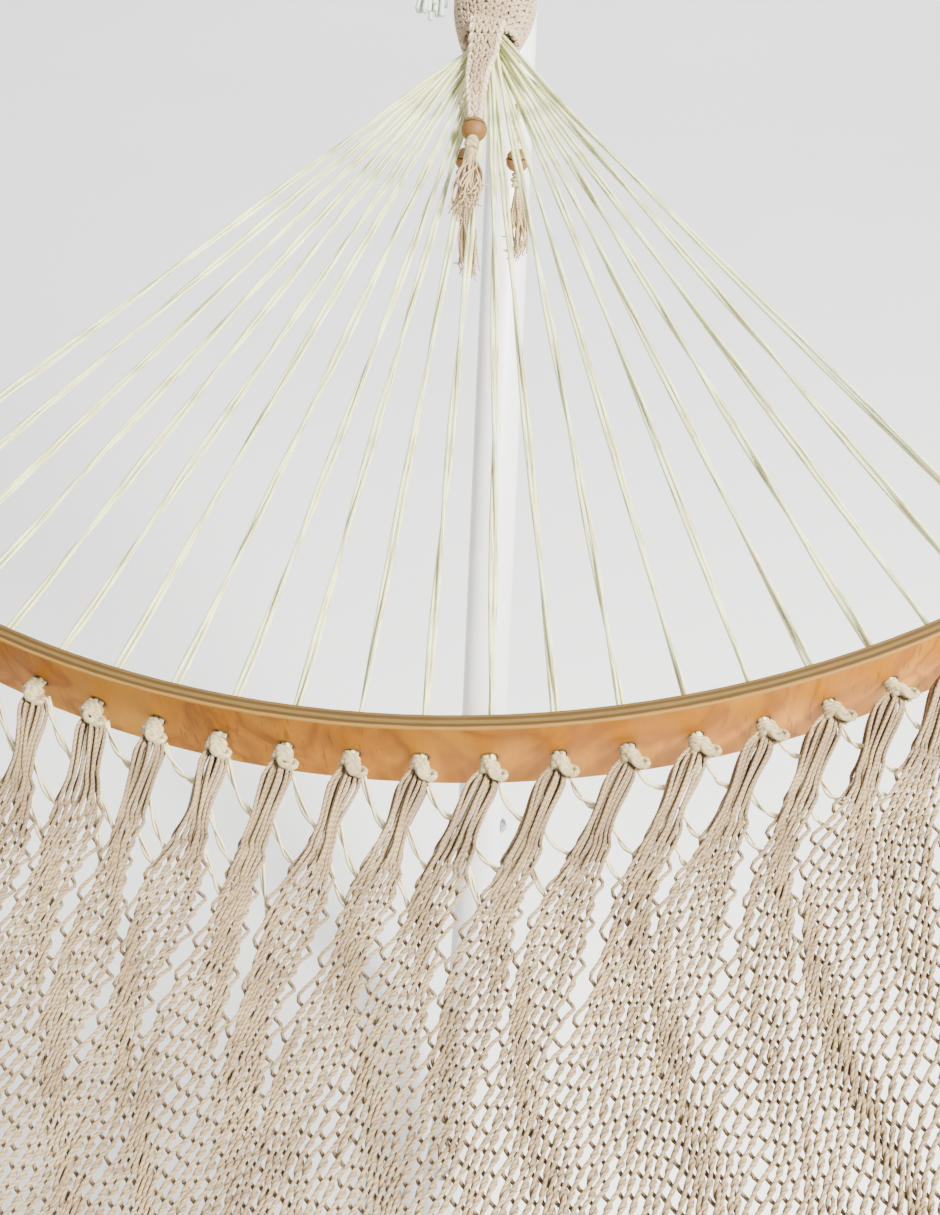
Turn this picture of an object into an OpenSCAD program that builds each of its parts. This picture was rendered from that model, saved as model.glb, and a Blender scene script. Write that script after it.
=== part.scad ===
// Spreader-bar hammock on a steel tube stand.
// +Y runs along the hammock to its head end, +Z is up, the origin is on the floor at the middle.
// Everything but the net is made once for the head end and turned half a turn about Z for the foot end.

/* [Fan of cords] */
// Slope of the fan of cords above the level, degrees
fan_tilt = 24; // [18:1:30]
// Length of a cord, from the crown point to the bar's inner face
fan_length = 800; // [700:10:900]
// Cord pairs in each fan
cord_pairs = 22; // [16:1:24]
// Angle from one cord pair to the next, degrees
pair_step = 3.6; // [3.0:0.1:3.8]
// Diameter of one fan cord
cord_d = 3.2; // [2.5:0.1:4]

/* [Spreader bar] */
// Thickness of the bent plywood strip
bar_t = 13; // [10:1:18]
// Width of the strip, square to the fan
bar_w = 80; // [60:1:90]
// Diameter of the holes for the cord pairs
bar_hole_d = 11; // [9:0.5:12]

/* [Bed] */
// Distance from the middle to the inner face of each bar, along Y
bar_reach = 800; // [700:10:950]
// Height of the middle of each bar above the floor
bar_height = 800; // [760:10:900]
// Thickness of the net
net_t = 6; // [4:1:8]
// Diameter of the cord along each side of the net
edge_d = 8; // [6:1:10]

/* [Crown] */
// Largest diameter of the crocheted sleeve
sleeve_d = 88; // [70:1:100]
// Length of the crocheted sleeve
sleeve_len = 145; // [120:5:160]
// Length of the crocheted flap that lies on the fan
top_flap_len = 130; // [100:5:140]
// Length of each crocheted side flap
side_flap_len = 107; // [90:1:120]
// Diameter of a bead
bead_d = 26; // [20:1:30]
// Length of a tassel below its bead
tassel_len = 120; // [90:5:130]

/* [Stand] */
// Outer diameter of the base tube and of the arms
tube_d = 50; // [42:1:60]
// Wall of every tube
tube_wall = 2; // [1.5:0.5:3]
// Slope of the arms above the level, degrees
arm_slope = 62; // [55:1:68]
// Radius of the bend at the foot of each arm
arm_bend_r = 300; // [200:10:350]
// Length of each cross foot
cross_len = 1060; // [900:10:1200]
// Outer diameter of the cross feet
cross_d = 40; // [34:1:48]

/* [Hidden] */
$fn = 48;
net_steps = 12;

// crown point: the centre of the bar's arc, where the cords of a fan meet
crown_y = bar_reach + fan_length * cos(fan_tilt);
crown_z = bar_height + fan_length * sin(fan_tilt);
fan_half = pair_step * (cord_pairs - 1) / 2;
bar_half = fan_half + 2.2;
bar_r = fan_length;
bar_round = 1.5;
pair_gap = 0.5;
gather_r = 120;
knot_d = 18;
knot_r = bar_r + bar_t + 8;
knot_neck_d = bar_hole_d - 1;
knot_inset = 2;

// net: an arc between the two fans' planes
net_r = knot_r + knot_d / 2 - 1;
net_turn_r = bar_r + bar_t + 47;
net_turn_y = crown_y - net_turn_r * cos(fan_tilt);
net_turn_z = crown_z - net_turn_r * sin(fan_tilt);
bed_r = net_turn_y / sin(fan_tilt);
bed_centre_z = net_turn_z + bed_r * cos(fan_tilt);
net_half_w = (bar_r + bar_t) * sin(fan_half);
net_edge_v = sqrt(net_r * net_r - net_half_w * net_half_w);

// sleeve: distances along the fan's slope, outwards from the crown point
sleeve_mouth = -18;
sleeve_top = sleeve_mouth + sleeve_len;
sleeve_wall = 4;
sleeve_steps = 14;
neck_r = 10;
whip_in = 8;
whip_len = 14;
tail_n = 8;
tail_turn = 23.5;
tail_len = 105;

// chain from the crown to the eye bolt, along the same slope
rope_r = 6;
rope_loop_r = 20;
rope_loop_s = sleeve_top + rope_loop_r + 2;
ring_r = 30;
ring_wire_r = 5;
ring_s = rope_loop_s + rope_loop_r - rope_r - ring_wire_r - 0.3 + ring_r;
clip_wire_r = 4;
clip_r = 16;
clip_straight = 40;
clip_near = ring_s + ring_r - ring_wire_r - clip_wire_r - 0.3;
clip_far = clip_near + clip_straight + 2 * clip_r;
gate_r = 3.5;
gate_low = clip_near + clip_r + 4;
gate_high = gate_low + 32;
gate_pin_r = 1.2;
gate_side_gap = 0.3;
cheek_t = 1.6;

// eye bolt
eye_r = 18;
eye_wire_r = 4;
eye_gap = 0.5;
eye_offset = eye_r - eye_wire_r - clip_wire_r - eye_gap;
eye_y = crown_y + (clip_far + eye_offset) * cos(fan_tilt);
eye_z = crown_z + (clip_far + eye_offset) * sin(fan_tilt);
bolt_r = 4;
collar_r = 9;
eye_to_arm = tube_d / 2 + 4 + eye_r + eye_wire_r;
nut_af = 15;
nut_t = 7;

// stand
pad_t = 12;
cross_z = pad_t + cross_d / 2;
saddle_gap = 6;
base_z = pad_t + cross_d + saddle_gap + tube_d / 2;
arm_root_y = eye_y + eye_to_arm * sin(arm_slope);
arm_root_z = eye_z - eye_to_arm * cos(arm_slope);
arm_rise = (arm_root_z - base_z) / sin(arm_slope);
knee_y = arm_root_y - arm_rise * cos(arm_slope);
bend_in = arm_bend_r * tan(arm_slope / 2);
arm_over = 70;
joint_y = knee_y - bend_in;
cross_y = joint_y - 200;
plug_len = 110;
plug_in = 15;
arm_bolt_up = bend_in + 55;
plug_r = tube_d / 2 - tube_wall - 0.1;
plug_wall = 2.5;
m8_r = 4;
cap_wall = 4;
cap_len = 55;
arm_cap_t = 6;

// tassels: flap tips in the fan's own frame (u across, s outwards, n up)
flap_t = 5;
flap_w = 62;
flap_tip_w = 8;
flap_waist_w = 45;
flap_waist_at = 0.4;
top_flap_n = 17;
top_flap_root = -10;
top_tip_s = top_flap_root - top_flap_len;
side_flap_u = 26;
side_flap_root = crown_z - sleeve_d / 2 + 40;
side_flap_cut = crown_z - 12;
tassel_knot_d = 12;
bead_gap = 2.5;
bead_hole_r = 2;
tassel_top_d = 14;
tassel_end_d = 26;
tassel_drop = bead_gap + bead_d + tassel_len;

// ---------- frames and helpers ----------

// children drawn for the head end, or turned to the foot end
module at_end(foot) {
    rotate([0, 0, foot ? 180 : 0]) children();
}

// the fan's frame: origin at the crown point, +Y outwards up the slope, +Z square to the fan
module in_fan() {
    translate([0, crown_y, crown_z]) rotate([fan_tilt, 0, 0]) children();
}

// a torus standing in the plane of Y and Z
module ring_yz(r, wire_r) {
    rotate([0, 90, 0]) rotate_extrude() translate([r, 0]) circle(wire_r);
}

// a tube along Y from y0 to y1
module tube_y(r, wall, y0, y1) {
    translate([0, y0, 0]) rotate([-90, 0, 0]) difference() {
        cylinder(r = r, h = y1 - y0);
        translate([0, 0, -1]) cylinder(r = r - wall, h = y1 - y0 + 2);
    }
}

module hex_nut(af, t, hole_r) {
    difference() {
        cylinder(d = af / cos(30), h = t, $fn = 6);
        translate([0, 0, -1]) cylinder(r = hole_r, h = t + 2);
    }
}

// a domed bolt whose head rests at z = 0 and whose shank runs down
module bolt(r, len) {
    translate([0, 0, -len]) cylinder(r = r, h = len + 1);
    intersection() {
        translate([0, 0, -r]) sphere(r = 2.4 * r);
        cylinder(r = 2.2 * r, h = 2 * r);
    }
}

// ---------- stand ----------

// bolt stations of the base tube: at the middle joint and at each arm
bolt_ys = [-joint_y + 55, -60, 60, joint_y - 55];

module bolt_holes(ys) {
    for (y = ys) translate([0, y, base_z]) cylinder(r = m8_r + 0.3, h = tube_d + 10, center = true);
}

module base_tube(foot) {
    color("ghostwhite") at_end(foot) difference() {
        translate([0, 0, base_z]) tube_y(tube_d / 2, tube_wall, 0, joint_y);
        bolt_holes(bolt_ys);
        saddle_hole();
    }
}

module base_coupler() {
    color("silver") difference() {
        translate([0, 0, base_z]) tube_y(plug_r, plug_wall, -plug_len, plug_len);
        bolt_holes(bolt_ys);
    }
}

module frame_bolts() {
    len = tube_d + nut_t + 3;
    color("dimgray") {
        for (y = bolt_ys) translate([0, y, base_z + tube_d / 2]) bolt(m8_r, len);
        for (foot = [false, true]) at_end(foot) along_arm()
            translate([tube_d / 2, 0, arm_bolt_up]) rotate([0, 90, 0]) bolt(m8_r, len);
    }
}

module frame_nuts() {
    color("dimgray") {
        for (y = bolt_ys) translate([0, y, base_z - tube_d / 2 - nut_t]) hex_nut(13, nut_t, m8_r);
        for (foot = [false, true]) at_end(foot) along_arm()
            translate([-tube_d / 2, 0, arm_bolt_up]) rotate([0, -90, 0]) hex_nut(13, nut_t, m8_r);
    }
}

// the bent tube at the foot of an arm
module arm_knee(foot) {
    color("ghostwhite") at_end(foot) translate([0, joint_y, base_z + arm_bend_r]) rotate([0, 90, 0])
        rotate_extrude(angle = arm_slope) translate([arm_bend_r, 0]) difference() {
            circle(tube_d / 2);
            circle(tube_d / 2 - tube_wall);
        }
}

// frame with +Z up along an arm and its origin at the knee
module along_arm() {
    translate([0, knee_y, base_z]) rotate([arm_slope - 90, 0, 0]) children();
}

module arm_post(foot) {
    color("ghostwhite") at_end(foot) difference() {
        along_arm() difference() {
            translate([0, 0, bend_in]) cylinder(d = tube_d, h = arm_rise - bend_in + arm_over);
            cylinder(r = tube_d / 2 - tube_wall, h = arm_rise + 2 * arm_over);
        }
        along_arm() arm_bolt_hole();
        at_eye() translate([0, 0, -eye_to_arm - tube_d]) cylinder(r = bolt_r + 0.3, h = 3 * tube_d);
    }
}

module arm_bolt_hole() {
    translate([0, 0, arm_bolt_up]) rotate([0, 90, 0]) cylinder(r = m8_r + 0.3, h = tube_d + 10, center = true);
}

// the short inner tubes that join each knee to its base tube and to its post
module arm_spigots() {
    color("silver") for (foot = [false, true]) at_end(foot) {
        difference() {
            translate([0, 0, base_z]) tube_y(plug_r, plug_wall, joint_y - plug_len, joint_y + plug_in);
            bolt_holes(bolt_ys);
        }
        along_arm() difference() {
            translate([0, 0, bend_in - plug_in]) cylinder(r = plug_r, h = plug_len + plug_in);
            cylinder(r = plug_r - plug_wall, h = bend_in + 2 * plug_len);
            arm_bolt_hole();
        }
    }
}

module arm_caps() {
    color("dimgray") for (foot = [false, true]) at_end(foot) along_arm()
        translate([0, 0, arm_rise + arm_over]) {
            cylinder(d = tube_d, h = arm_cap_t);
            translate([0, 0, -18]) cylinder(r = tube_d / 2 - tube_wall - 0.1, h = 19);
        }
}

module cross_foot(foot) {
    color("ghostwhite") at_end(foot) difference() {
        translate([0, cross_y, cross_z]) rotate([0, 90, 0]) difference() {
            cylinder(d = cross_d, h = cross_len - 2 * cap_wall, center = true);
            cylinder(r = cross_d / 2 - tube_wall, h = cross_len, center = true);
        }
        saddle_hole();
    }
}

module foot_caps(foot) {
    cap_r = cross_d / 2 + cap_wall;
    color("darkslategray") at_end(foot) for (side = [-1, 1])
        translate([side * (cross_len / 2 - cap_len), cross_y, 0]) rotate([0, 0, side < 0 ? 180 : 0])
            difference() {
                union() {
                    translate([0, 0, cross_z]) rotate([0, 90, 0]) cylinder(r = cap_r, h = cap_len);
                    translate([0, -cap_r, 0]) cube([cap_len, 2 * cap_r, cross_z]);
                }
                translate([-1, 0, cross_z]) rotate([0, 90, 0])
                    cylinder(d = cross_d, h = cap_len - cap_wall + 1);
            }
}

module saddle_hole() {
    translate([0, cross_y, 0]) cylinder(r = m8_r + 0.3, h = base_z + tube_d);
}

// the block between the base tube and a cross foot, hollowed to both
module saddles() {
    saddle_w = 44;
    color("darkslategray") for (foot = [false, true]) at_end(foot) difference() {
        translate([-saddle_w / 2, cross_y - saddle_w / 2, cross_z + 8])
            cube([saddle_w, saddle_w, base_z - cross_z - 16]);
        translate([0, cross_y, cross_z]) rotate([0, 90, 0])
            cylinder(d = cross_d, h = 2 * saddle_w, center = true);
        translate([0, cross_y, base_z]) rotate([90, 0, 0])
            cylinder(d = tube_d, h = 2 * saddle_w, center = true);
        saddle_hole();
    }
}

module saddle_bolts() {
    color("dimgray") for (foot = [false, true]) at_end(foot)
        translate([0, cross_y, base_z + tube_d / 2])
            bolt(m8_r, base_z + tube_d / 2 - pad_t + nut_t);
}

module saddle_nuts() {
    color("dimgray") for (foot = [false, true]) at_end(foot)
        translate([0, cross_y, pad_t - nut_t]) hex_nut(13, nut_t, m8_r);
}

// frame at the eye's centre, +Z away from the arm and square to it
module at_eye() {
    translate([0, eye_y, eye_z]) rotate([arm_slope, 0, 0]) children();
}

module eye_bolt(foot) {
    stem = eye_to_arm - eye_r;
    color("silver") at_end(foot) difference() {
        at_eye() {
            ring_yz(eye_r, eye_wire_r);
            translate([0, 0, -eye_to_arm - tube_d / 2 - nut_t - 5])
                cylinder(r = bolt_r, h = stem + tube_d / 2 + nut_t + 5);
            translate([0, 0, -eye_to_arm + tube_d / 2 - 3]) cylinder(r = collar_r, h = 7);
        }
        at_eye() translate([0, 0, -eye_to_arm]) rotate([90, 0, 0])
            difference() {
                cylinder(d = tube_d, h = 60, center = true);
                cylinder(r = tube_d / 2 - 3.5, h = 61, center = true);
                rotate([-90, 0, 0]) cylinder(r = bolt_r, h = 2 * tube_d, center = true);
            }
    }
}

module eye_nuts() {
    color("silver") for (foot = [false, true]) at_end(foot) at_eye()
        translate([0, 0, -eye_to_arm - tube_d / 2 - nut_t - 0.2]) hex_nut(nut_af, nut_t, bolt_r);
}

// ---------- chain of the crown ----------

// a stadium-shaped snap hook, open along one side for its gate
module carabiner(foot) {
    color("silver") at_end(foot) in_fan() difference() {
        union() {
            for (end = [0, 1])
                translate([0, end ? clip_far - clip_r : clip_near + clip_r, 0])
                    rotate([0, 0, end ? 0 : 180]) rotate_extrude(angle = 180)
                        translate([clip_r, 0]) circle(clip_wire_r);
            for (side = [-1, 1]) translate([side * clip_r, clip_near + clip_r, 0])
                rotate([-90, 0, 0]) cylinder(r = clip_wire_r, h = clip_straight);
            translate([clip_r - clip_wire_r, gate_low - 4, -gate_r - gate_side_gap - cheek_t])
                cube([2 * clip_wire_r, 8, 2 * (gate_r + gate_side_gap + cheek_t)]);
        }
        gate_space();
        translate([clip_r, gate_low, -10]) cylinder(r = gate_pin_r, h = 20);
    }
}

// the room that the gate needs in the side of the hook
module gate_space() {
    translate([0, gate_low - 4.4, -gate_r - gate_side_gap])
        cube([clip_r + 8, gate_high - gate_low + 4.4 + 0.5, 2 * (gate_r + gate_side_gap)]);
    translate([0, gate_low + 4, -10]) cube([clip_r + 8, gate_high - gate_low - 3.5, 20]);
}

module gate(foot) {
    color("silver") at_end(foot) in_fan() difference() {
        union() {
            translate([clip_r, gate_low, 0]) rotate([-90, 0, 0]) cylinder(r = gate_r, h = gate_high - gate_low);
            translate([clip_r, gate_low, -gate_r]) cylinder(r = gate_r, h = 2 * gate_r);
        }
        translate([clip_r, gate_low, -10]) cylinder(r = gate_pin_r + 0.06, h = 20);
    }
}

module gate_pins() {
    half = gate_r + gate_side_gap + cheek_t;
    color("dimgray") for (foot = [false, true]) at_end(foot) in_fan()
        translate([clip_r, gate_low, -half]) cylinder(r = gate_pin_r, h = 2 * half);
}

module ring(foot) {
    color("silver") at_end(foot) in_fan() translate([0, ring_s, 0]) ring_yz(ring_r, ring_wire_r);
}

// the loop of gathered cord round the ring, its whipping, and the free cord ends beside it
module rope_eye(foot) {
    color("wheat") at_end(foot) in_fan() {
        translate([0, rope_loop_s, 0]) rotate_extrude() translate([rope_loop_r, 0]) circle(rope_r);
        translate([0, sleeve_top - whip_in, 0]) rotate([-90, 0, 0]) cylinder(r = neck_r, h = whip_len);
        translate([-2 * neck_r, sleeve_top + 4, tail_n]) rotate([90, 0, -tail_turn])
            cylinder(r1 = 4, r2 = 9, h = tail_len);
    }
}

// radius of the sleeve at t = 0 (mouth) to 1 (top)
function sleeve_radius(t) =
    let (mouth = 30, top = 17, belly = sleeve_d / 2)
    t < 0.42 ? mouth + (belly - mouth) * sin(90 * t / 0.42)
             : top + (belly - top) * (0.5 + 0.5 * cos(180 * (t - 0.42) / 0.58));

function sleeve_outline(grow) = [
    for (i = [0:sleeve_steps]) [sleeve_radius(i / sleeve_steps) + grow, sleeve_mouth + sleeve_len * i / sleeve_steps]
];

module sleeve_body(grow, low, high) {
    rotate([-90, 0, 0]) mirror([0, 1, 0]) rotate_extrude()
        polygon(concat([[0, sleeve_mouth + low]], sleeve_outline(grow), [[0, sleeve_top + high]]));
}

module sleeve(foot) {
    color("antiquewhite") at_end(foot) in_fan() difference() {
        sleeve_body(0, 0, 0);
        sleeve_body(-sleeve_wall, 0, 0);
        translate([0, sleeve_top - 12, 0]) rotate([-90, 0, 0]) cylinder(r = neck_r + 0.1, h = 14);
    }
}

// the cords drawn together: a bunch inside the sleeve, and the narrow end of the fan
module cord_gather(foot) {
    mouth_r = 24;
    fan_start_r = 12;
    side_spare = 1.6;
    color("beige") at_end(foot) in_fan() {
        translate([0, sleeve_mouth - 2, 0]) rotate([-90, 0, 0]) cylinder(r1 = mouth_r, r2 = neck_r, h = sleeve_len - 6);
        rotate([0, 0, -90 - fan_half - side_spare]) rotate_extrude(angle = 2 * (fan_half + side_spare))
            polygon([[fan_start_r, -14], [gather_r, -2.5], [gather_r, 2.5], [fan_start_r, 14]]);
    }
}

// ---------- flaps, beads and tassels ----------

// a pointed crochet flap in the X-Y plane: its root at y = 0, its tip at y = -len
module flap_shape(len) {
    waist = -len * flap_waist_at;
    polygon([[-flap_w / 2, 0], [flap_w / 2, 0], [flap_waist_w / 2, waist], [flap_tip_w / 2, -len],
             [-flap_tip_w / 2, -len], [-flap_waist_w / 2, waist]]);
}

// places something at the tip of one of the three flaps, with -Z along the way it hangs
module at_tip(which) {
    if (which == "top")
        in_fan() translate([0, top_tip_s, top_flap_n]) rotate([-90, 0, 0]) children();
    else
        translate([which == "left" ? -side_flap_u : side_flap_u, crown_y, side_flap_root - side_flap_len])
            children();
}

module flaps(foot) {
    color("antiquewhite") at_end(foot) {
        in_fan() difference() {
            translate([0, top_flap_root, top_flap_n - flap_t / 2])
                linear_extrude(flap_t) flap_shape(top_flap_len);
            sleeve_body(-1, 0, 0);
        }
        for (side = [-1, 1]) difference() {
            translate([side * side_flap_u, crown_y + flap_t / 2, side_flap_root])
                rotate([90, 0, 0]) linear_extrude(flap_t) flap_shape(side_flap_len);
            in_fan() sleeve_body(-1, 0, 0);
            translate([-sleeve_d, crown_y - sleeve_d, side_flap_cut]) cube(2 * sleeve_d);
        }
    }
}

module bead(foot, which) {
    color("peru") at_end(foot) at_tip(which) translate([0, 0, -bead_gap - bead_d / 2]) difference() {
        sphere(d = bead_d);
        cylinder(r = bead_hole_r, h = bead_d + 2, center = true);
    }
}

module tassel(foot, which) {
    color("antiquewhite") at_end(foot) at_tip(which) {
        translate([0, 0, -bead_gap - bead_d - 2]) cylinder(r = bead_hole_r - 0.1, h = bead_d + 2);
        translate([0, 0, -bead_gap - bead_d - tassel_knot_d + 1.5]) cylinder(d = tassel_knot_d, h = tassel_knot_d);
        translate([0, 0, -tassel_drop])
            cylinder(d1 = tassel_end_d, d2 = tassel_top_d, h = tassel_len - tassel_knot_d + 2);
    }
}

// ---------- fan, bar and net ----------

// children set on the line of each cord pair, +X along the cord away from the crown point
module each_pair() {
    for (i = [0:cord_pairs - 1]) rotate([0, 0, -90 - fan_half + i * pair_step]) children();
}

module fan_cords(foot) {
    color("beige") at_end(foot) in_fan() each_pair()
        for (side = [-1, 1]) translate([gather_r, side * (cord_d + pair_gap) / 2, 0])
            rotate([0, 90, 0]) cylinder(d = cord_d, h = bar_r - knot_inset - gather_r);
}

module bar_section() {
    for (z = [bar_round, bar_w - bar_round], r = [bar_round, bar_t - bar_round])
        translate([bar_r + r, z - bar_w / 2]) circle(bar_round);
    translate([bar_r + bar_round, -bar_w / 2]) square([bar_t - 2 * bar_round, bar_w]);
    translate([bar_r, -bar_w / 2 + bar_round]) square([bar_t, bar_w - 2 * bar_round]);
}

module spreader_bar(foot) {
    color("burlywood") at_end(foot) in_fan() difference() {
        rotate([0, 0, -90 - bar_half]) rotate_extrude(angle = 2 * bar_half) bar_section();
        each_pair() translate([bar_r - 2, 0, 0]) rotate([0, 90, 0]) cylinder(d = bar_hole_d, h = bar_t + 4);
    }
}

module bundle_knots(foot) {
    color("cornsilk") at_end(foot) in_fan() each_pair() {
        translate([bar_r - knot_inset, 0, 0]) rotate([0, 90, 0])
            cylinder(d = knot_neck_d, h = knot_r - bar_r + knot_inset);
        translate([knot_r, 0, 0]) sphere(d = knot_d);
    }
}

// side view of the net, lifted by off: an arc, and straight ends in the fans' planes
function net_line(off) =
    let (run = net_turn_r - net_edge_v,
         arc = [for (i = [-net_steps:net_steps]) let (a = fan_tilt * i / net_steps)
                [(bed_r - off) * sin(a), bed_centre_z - (bed_r - off) * cos(a)]],
         tip = arc[2 * net_steps] + run * [cos(fan_tilt), sin(fan_tilt)])
    concat([[-tip[0], tip[1]]], arc, [tip]);

module net_profile(t) {
    low = net_line(-t / 2);
    high = net_line(t / 2);
    polygon(concat(low, [for (i = [len(high) - 1:-1:0]) high[i]]));
}

module net() {
    color("bisque") difference() {
        rotate([90, 0, 90]) translate([0, 0, -net_half_w]) linear_extrude(2 * net_half_w) net_profile(net_t);
        for (foot = [false, true]) at_end(foot) in_fan()
            translate([0, 0, -150]) cylinder(r = net_r, h = 300);
    }
}

// the cord along one side of the net
module edge_cord(side) {
    color("beige") translate([side < 0 ? -net_half_w - edge_d : net_half_w, 0, 0])
        rotate([90, 0, 90]) linear_extrude(edge_d) net_profile(edge_d);
}

base_tube(false);  // base_tube_head
base_tube(true);  // base_tube_foot
base_coupler();
frame_bolts();
frame_nuts();
arm_knee(false);  // arm_knee_head
arm_knee(true);  // arm_knee_foot
arm_post(false);  // arm_post_head
arm_post(true);  // arm_post_foot
arm_spigots();
arm_caps();
cross_foot(false);  // cross_foot_head
cross_foot(true);  // cross_foot_foot
foot_caps(false);  // foot_caps_head
foot_caps(true);  // foot_caps_foot
saddles();
saddle_bolts();
saddle_nuts();
eye_bolt(false);  // eye_bolt_head
eye_bolt(true);  // eye_bolt_foot
eye_nuts();
carabiner(false);  // carabiner_head
carabiner(true);  // carabiner_foot
gate(false);  // gate_head
gate(true);  // gate_foot
gate_pins();
ring(false);  // ring_head
ring(true);  // ring_foot
rope_eye(false);  // rope_eye_head
rope_eye(true);  // rope_eye_foot
sleeve(false);  // sleeve_head
sleeve(true);  // sleeve_foot
flaps(false);  // flaps_head
flaps(true);  // flaps_foot
cord_gather(false);  // cord_gather_head
cord_gather(true);  // cord_gather_foot
fan_cords(false);  // fan_cords_head
fan_cords(true);  // fan_cords_foot
spreader_bar(false);  // spreader_bar_head
spreader_bar(true);  // spreader_bar_foot
bundle_knots(false);  // bundle_knots_head
bundle_knots(true);  // bundle_knots_foot
net();
edge_cord(-1);  // edge_cord_left
edge_cord(1);  // edge_cord_right
bead(false, "top");  // bead_top_head
bead(false, "left");  // bead_left_head
bead(false, "right");  // bead_right_head
bead(true, "top");  // bead_top_foot
bead(true, "left");  // bead_left_foot
bead(true, "right");  // bead_right_foot
tassel(false, "top");  // tassel_top_head
tassel(false, "left");  // tassel_left_head
tassel(false, "right");  // tassel_right_head
tassel(true, "top");  // tassel_top_foot
tassel(true, "left");  // tassel_left_foot
tassel(true, "right");  // tassel_right_foot
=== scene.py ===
"""Looks of the spreader-bar hammock and its steel stand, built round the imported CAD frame.

Lengths are in metres. The fan's frame has its origin at the crown point, where the cords of a fan meet:
x runs across, s runs outwards up the slope of the fan, n is square to the fan. The foot end is the head end
turned half a turn about the vertical. A point of the bed is (x, d, h): d is the distance from the head's
crown point down the fan and along the net, h is the height above the net's middle surface.
"""

import math

import bpy
import numpy as np
from mathutils import Matrix, Vector


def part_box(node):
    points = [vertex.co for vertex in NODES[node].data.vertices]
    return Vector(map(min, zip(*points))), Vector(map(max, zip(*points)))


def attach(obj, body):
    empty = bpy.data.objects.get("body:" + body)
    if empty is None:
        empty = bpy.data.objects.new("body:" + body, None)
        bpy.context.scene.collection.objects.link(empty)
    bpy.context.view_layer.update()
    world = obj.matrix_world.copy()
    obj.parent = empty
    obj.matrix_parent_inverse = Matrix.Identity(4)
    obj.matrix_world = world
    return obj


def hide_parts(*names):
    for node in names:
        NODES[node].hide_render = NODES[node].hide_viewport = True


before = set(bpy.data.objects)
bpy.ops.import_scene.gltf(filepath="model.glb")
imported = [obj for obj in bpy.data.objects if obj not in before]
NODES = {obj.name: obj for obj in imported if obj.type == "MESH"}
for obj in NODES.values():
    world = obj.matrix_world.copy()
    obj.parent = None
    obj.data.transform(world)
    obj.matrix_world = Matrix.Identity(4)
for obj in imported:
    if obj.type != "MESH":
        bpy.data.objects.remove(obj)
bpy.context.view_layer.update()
TAU = 2 * math.pi
ENDS = ("head", "foot")
rng = np.random.default_rng(7)


# ---------- sizes, from the frame and the bar's own design ----------

def middle(node):
    """The middle of a CAD node's box."""
    low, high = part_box(node)
    return (low + high) / 2


# The slope of the fans, the number of cord pairs in one, and the angle between neighbouring pairs.
TILT = math.radians(24)
PAIRS = 22
PAIR_STEP = math.radians(3.6)

# The bar: radius of its inner face round the crown point, thickness, width, holes' radius, outer face.
BAR_R = 0.800
BAR_T = 0.013
BAR_W = 0.080
HOLE_R = 0.0055
BAR_OUT = BAR_R + BAR_T

# A fan cord's radius, and roughly how far from the crown point the cords draw together.
CORD_R = 0.0018
GATHER_R = 0.120

# The crown point. The ring's middle lies RING_S up the slope from it.
RING_S = 0.1877
CROWN_Y = middle("bead_left_head").y
CROWN_Z = middle("ring_head").z - RING_S * math.sin(TILT)

# The sleeve's mouth, its length and its top, measured up the slope from the crown point.
SLEEVE_LOW = -0.018
SLEEVE_LEN = 0.145
SLEEVE_TOP = SLEEVE_LOW + SLEEVE_LEN

# The bed: where the net's strands start, where the fan's slope turns into an arc, that arc's radius and
# centre, the distances from crown point to middle and to the other crown point, and half the net's width.
KNOT_R = BAR_OUT + 0.008
TURN_R = BAR_OUT + 0.047
TURN_Y = CROWN_Y - TURN_R * math.cos(TILT)
TURN_Z = CROWN_Z - TURN_R * math.sin(TILT)
BED_R = TURN_Y / math.sin(TILT)
BED_CENTRE_Z = TURN_Z + BED_R * math.cos(TILT)
D_MIDDLE = TURN_R + BED_R * TILT
D_TOTAL = 2 * D_MIDDLE
NET_HALF_W = BAR_OUT * math.sin(PAIR_STEP * (PAIRS - 1) / 2)


def pair_angle(k):
    """Angle between pair k and the middle of its fan."""
    return (np.asarray(k) - (PAIRS - 1) / 2) * PAIR_STEP


# ---------- places ----------

def turned(end, points):
    """Points made for the head end, turned to the foot end when end says so."""
    return points if end == "head" else points * np.array([-1.0, -1.0, 1.0])


def fan_point(x, s, n):
    """Points of the head's fan frame as points of the CAD frame."""
    x, s, n = np.broadcast_arrays(x, s, n)
    y = CROWN_Y + s * math.cos(TILT) - n * math.sin(TILT)
    z = CROWN_Z + s * math.sin(TILT) + n * math.cos(TILT)
    return np.stack([x, y, z], -1)


def bed_point(x, d, h):
    """Points of the bed as points of the CAD frame."""
    x, d, h = np.broadcast_arrays(x, d, h)
    along = D_MIDDLE - d
    angle = np.clip(along / BED_R, -TILT, TILT)
    past = along - angle * BED_R
    y = (BED_R - h) * np.sin(angle) + past * np.cos(angle)
    z = BED_CENTRE_Z - (BED_R - h) * np.cos(angle) + past * np.sin(angle)
    return np.stack([x, y, z], -1)


def smooth(t):
    """Eases from 0 to 1 while t runs from 0 to 1."""
    t = np.clip(t, 0, 1)
    return t * t * (3 - 2 * t)


# ---------- meshes ----------

TINY = 1e-12
# A slanting direction that hardly any path follows, for tubes that bend every way.
SLANT = (0.31, 0.17, 0.93)


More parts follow.
